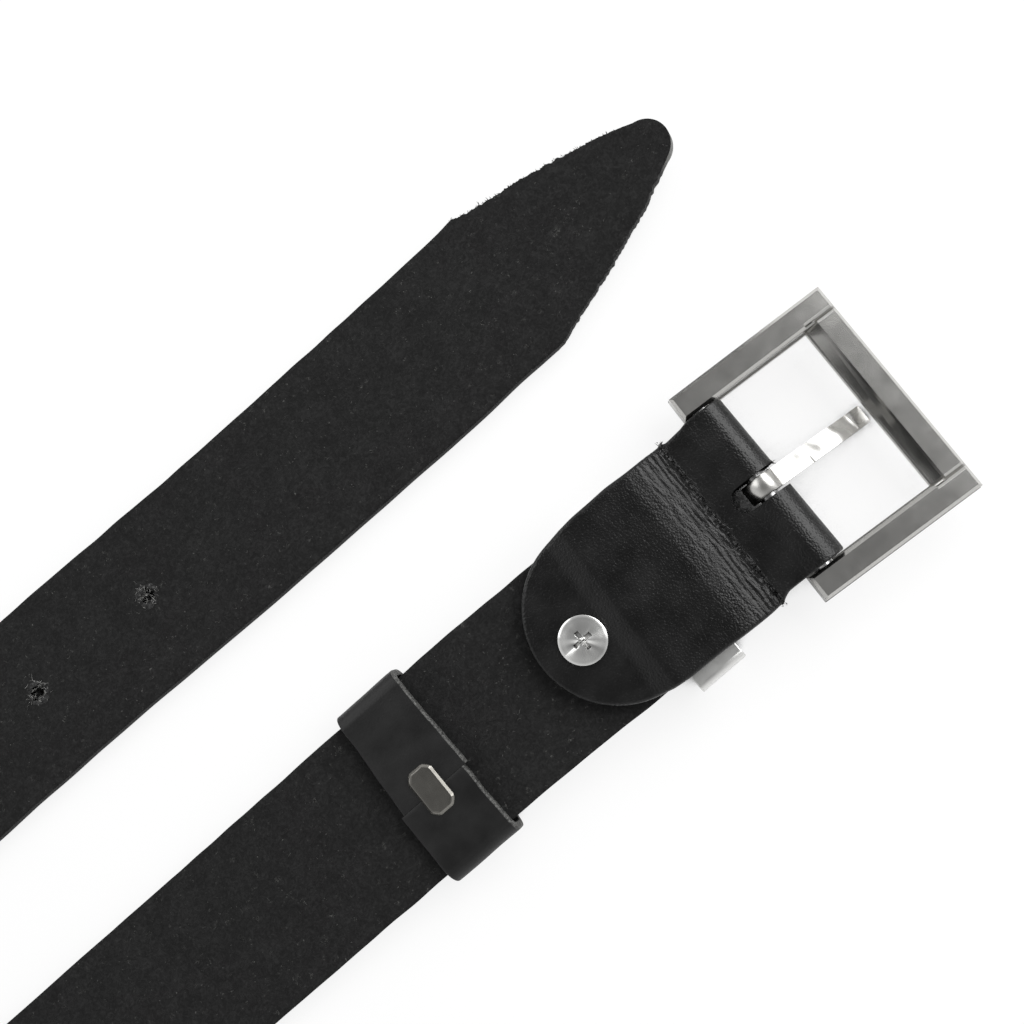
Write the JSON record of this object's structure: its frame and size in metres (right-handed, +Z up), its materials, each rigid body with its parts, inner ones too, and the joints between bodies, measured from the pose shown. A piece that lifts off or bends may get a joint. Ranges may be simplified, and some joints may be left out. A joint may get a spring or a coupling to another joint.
{
  "type": "leather belt",
  "caption": "Black leather belt, back side up: strap folded round the bar of a square frame buckle with a prong, a metal keeper, a leather slider loop and a tapered tip with size holes.",
  "frame": {"origin": "bottom centre of the whole belt as it lies on a table", "axes": "+X along the two flat strands towards the buckle and the tip, +Y across from the buckle strand to the tip strand, +Z up, out of the back (flesh) side of the leather"},
  "size_m": [0.5486, 0.1334, 0.0352],
  "materials": {
    "strap_leather": "matte suede flesh side, smooth black grain side",
    "loop_leather": "smooth satin black",
    "frame_metal": "polished plated casting",
    "bar_steel": "plain drawn wire",
    "prong_metal": "polished plated strip",
    "keeper_metal": "satin",
    "clip_metal": "polished",
    "screw_metal": "turned and polished",
    "post_metal": "polished"
  },
  "bodies": {
    "belt": {"strap": "strap_leather", "keeper": "keeper_metal", "tab_screw": "screw_metal", "screw_post": "post_metal"},
    "buckle": {"buckle_frame": "frame_metal", "buckle_bar": "bar_steel"},
    "prong": {"prong": "prong_metal"},
    "slider": {"slider_loop": "loop_leather", "slider_clip": "clip_metal"}
  },
  "joints": [
    {"name": "buckle_swing", "type": "hinge", "parent": "belt", "child": "buckle", "pos_m": [0.24016, -0.03255, 0.0085], "axis": [-0.0698, -0.9976, 0], "range_deg": [-45, 140]},
    {"name": "prong_swing", "type": "hinge", "parent": "buckle", "child": "prong", "pos_m": [0.24016, -0.03255, 0.0085], "axis": [-0.0698, -0.9976, 0], "range_deg": [-80, 8]},
    {"name": "slider_slide", "type": "slide", "parent": "belt", "child": "slider", "axis": [0.9988, 0, 0.0487], "range_m": [-0.042, 0.022]}
  ]
}
